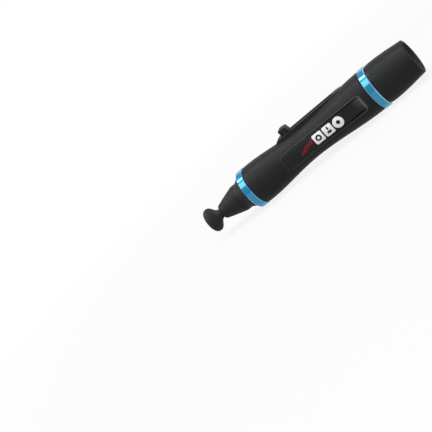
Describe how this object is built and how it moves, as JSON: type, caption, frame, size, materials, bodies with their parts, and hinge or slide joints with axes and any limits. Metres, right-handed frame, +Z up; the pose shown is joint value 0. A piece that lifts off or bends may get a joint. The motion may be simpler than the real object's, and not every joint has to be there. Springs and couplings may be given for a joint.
{
  "type": "lens cleaning pen",
  "caption": "Waisted pen with a soft round cleaning pad on a flexible neck, a slider-driven retractable brush in an open hood, and metal trim rings.",
  "frame": {"origin": "middle of the pen's length, directly under the axis, at the lowest point of the rear ring", "axes": "+X along the pen from the cleaning tip to the brush hood, +Z up through the thumb slider, -Y the label side that faces the viewer"},
  "size_m": [0.0982, 0.0166, 0.0191],
  "materials": {
    "body_plastic": "satin, fine moulded texture",
    "label_face": "smooth printed plate",
    "blue_anodised": "polished blue anodised",
    "inner_plastic": "plain moulded",
    "tip_rubber": "soft matte",
    "pad_foam": "open-cell foam",
    "pad_cloth": "short-nap microfibre",
    "knob_plastic": "satin",
    "spring_steel": "ground",
    "ferrule_metal": "drawn, satin",
    "root_resin": "set resin",
    "bristle_hair": "fine soft hair"
  },
  "bodies": {
    "barrel": {"barrel_shell": "body_plastic", "front_label": "label_face", "back_label": "label_face", "front_ring": "blue_anodised", "rear_ring": "blue_anodised", "nose_cone": "body_plastic", "tip_socket": "inner_plastic", "tip_neck": "tip_rubber", "bulkhead_plug": "inner_plastic", "slide_sleeve": "inner_plastic", "guide_bush": "inner_plastic", "brush_hood": "body_plastic"},
    "brush": {"thumb_slider": "knob_plastic", "slider_stem": "inner_plastic", "brush_carrier": "inner_plastic", "detent_leaf": "spring_steel", "brush_ferrule": "ferrule_metal", "bristle_root": "root_resin", "brush_bristles": "bristle_hair"},
    "tip": {"tip_head": "tip_rubber", "pad_foam": "pad_foam", "tip_pad": "pad_cloth"}
  },
  "joints": [
    {"name": "brush_slide", "type": "slide", "parent": "barrel", "child": "brush", "axis": [1, 0, 0], "range_m": [0, 0.02]},
    {"name": "head_tilt", "type": "hinge", "parent": "barrel", "child": "tip", "pos_m": [-0.04435, 0, 0.00835], "axis": [0, 1, 0], "range_deg": [-12, 12], "stiffness_Nm_per_rad": 0.01}
  ]
}
